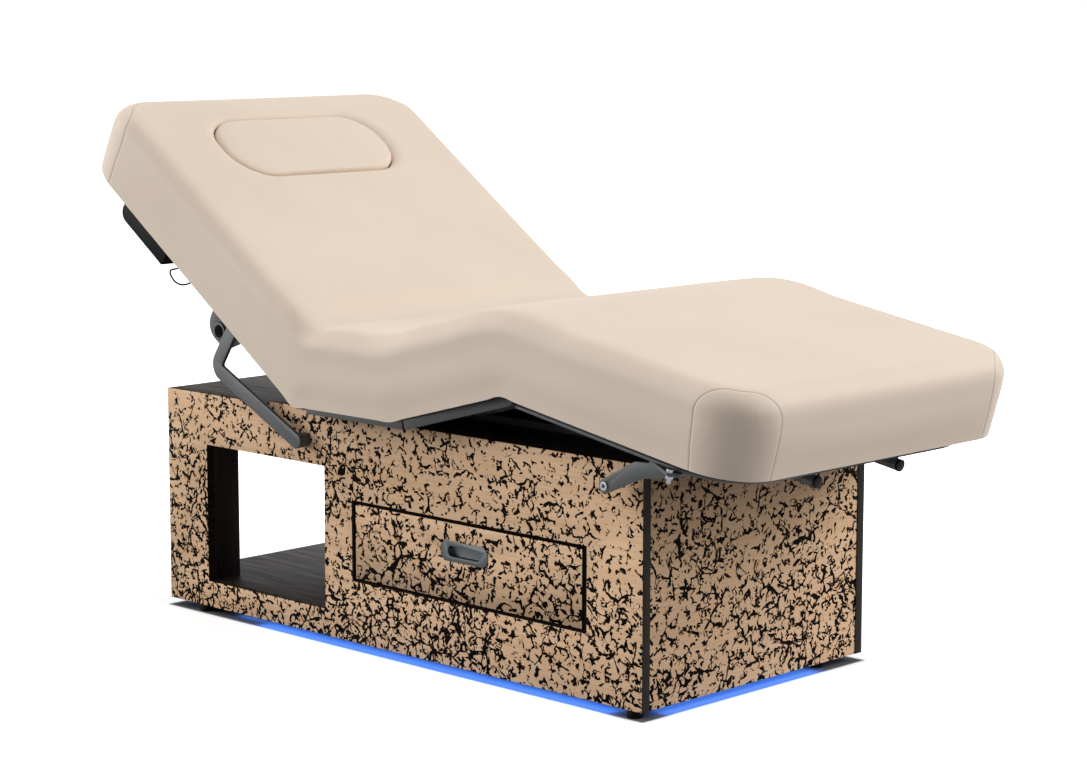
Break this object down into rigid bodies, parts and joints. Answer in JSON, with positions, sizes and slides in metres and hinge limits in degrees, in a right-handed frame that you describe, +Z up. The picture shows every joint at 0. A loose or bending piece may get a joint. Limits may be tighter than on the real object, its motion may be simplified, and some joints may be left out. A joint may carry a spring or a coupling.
{
  "type": "spa bed with cabinet base",
  "caption": "Padded spa bed with tilting back, thigh and leg sections on lifting columns over a storage cabinet with an open cubby and a drawer.",
  "frame": {"origin": "on the floor under the middle of the whole bed's box", "axes": "+X towards the foot end, -Y towards the side with the drawer, +Z up"},
  "size_m": [1.7278, 0.7912, 1.0162],
  "materials": {
    "laminate": "satin laminate with a dark crackle pattern",
    "dark_wood": "dark stained wood grain",
    "carcass_board": "dark melamine board",
    "drawer_wood": "clear birch",
    "edge_band": "black edging",
    "bright_steel": "zinc plated",
    "dark_metal": "black powder coat",
    "grey_metal": "grey powder coat",
    "ply": "dark stained plywood",
    "upholstery": "soft coated upholstery",
    "black_plastic": "fine texture",
    "cable": "smooth",
    "channel_metal": "anodised",
    "blue_light": "frosted, lit blue",
    "foot_rubber": "matt",
    "pull_metal": "pewter"
  },
  "bodies": {
    "cabinet": {"side_panel_near": "laminate", "side_panel_far": "laminate", "foot_end_panel": "laminate", "top_panel": "dark_wood", "bottom_panel": "carcass_board", "cubby_boards": "dark_wood", "cubby_partition": "dark_wood", "corner_posts": "dark_wood", "head_end_rails": "dark_wood", "drawer_bay_sides": "carcass_board", "edge_bands": "edge_band", "drawer_runner_channels": "bright_steel", "lift_outer_columns": "dark_metal", "control_unit": "black_plastic", "mains_inlet": "black_plastic", "led_channels": "channel_metal", "led_diffusers": "blue_light", "levelling_feet": "foot_rubber"},
    "drawer": {"drawer_front": "laminate", "drawer_box": "drawer_wood", "drawer_pull": "pull_metal", "drawer_slides": "bright_steel"},
    "top_lift": {"lift_inner_columns": "bright_steel", "subframe_rails": "dark_metal", "subframe_plates": "dark_metal", "seat_strips": "dark_metal", "seat_rails": "grey_metal", "seat_board": "ply", "seat_cushion": "upholstery", "seat_hinge_leaves": "dark_metal", "seat_hinge_pins": "bright_steel", "back_roll": "upholstery"},
    "back": {"back_board": "ply", "back_cushion": "upholstery", "back_rails": "grey_metal", "back_strips": "dark_metal", "back_hinge_leaves": "dark_metal", "side_arms": "grey_metal", "arm_sockets": "grey_metal", "arm_bosses": "grey_metal", "back_control_box": "black_plastic", "control_box_lead": "cable"},
    "head_pillow": {"face_plug": "upholstery"},
    "thigh": {"thigh_board": "ply", "thigh_cushion": "upholstery", "thigh_rails": "grey_metal", "thigh_strips": "dark_metal", "thigh_hinge_leaves": "dark_metal", "knee_hinge_pins": "bright_steel", "seat_roll": "upholstery", "knee_roll": "upholstery"},
    "leg": {"leg_board": "ply", "leg_cushion": "upholstery", "leg_rails": "grey_metal", "leg_strips": "dark_metal", "leg_hinge_leaves": "dark_metal", "foot_levers": "grey_metal", "lever_bolts": "bright_steel", "accessory_tubes": "grey_metal", "tube_caps": "black_plastic"}
  },
  "joints": [
    {"name": "drawer_slide", "type": "slide", "parent": "cabinet", "child": "drawer", "axis": [0, -1, 0], "range_m": [0, 0.2]},
    {"name": "top_lift_slide", "type": "slide", "parent": "cabinet", "child": "top_lift", "axis": [0, 0, 1], "range_m": [0, 0.25]},
    {"name": "back_hinge", "type": "hinge", "parent": "top_lift", "child": "back", "pos_m": [-0.23662, 0, 0.4673], "axis": [0, 1, 0], "range_deg": [-35.1, 25], "deforming": ["back_roll"]},
    {"name": "thigh_hinge", "type": "hinge", "parent": "top_lift", "child": "thigh", "pos_m": [0.03068, 0, 0.4673], "axis": [0, -1, 0], "range_deg": [-15.1, 10], "deforming": ["seat_roll", "knee_roll"]},
    {"name": "knee_hinge", "type": "hinge", "parent": "thigh", "child": "leg", "pos_m": [0.31346, 0, 0.5436], "axis": [0, 1, 0], "range_deg": [-25.01, 16.57]},
    {"name": "pillow_lift_out", "type": "slide", "parent": "back", "child": "head_pillow", "axis": [0.575, 0, 0.8181], "range_m": [0, 0.19]}
  ],
  "couplings": [
    {"joint": "knee_hinge", "follows": "thigh_hinge", "ratio": 1.6556}
  ]
}
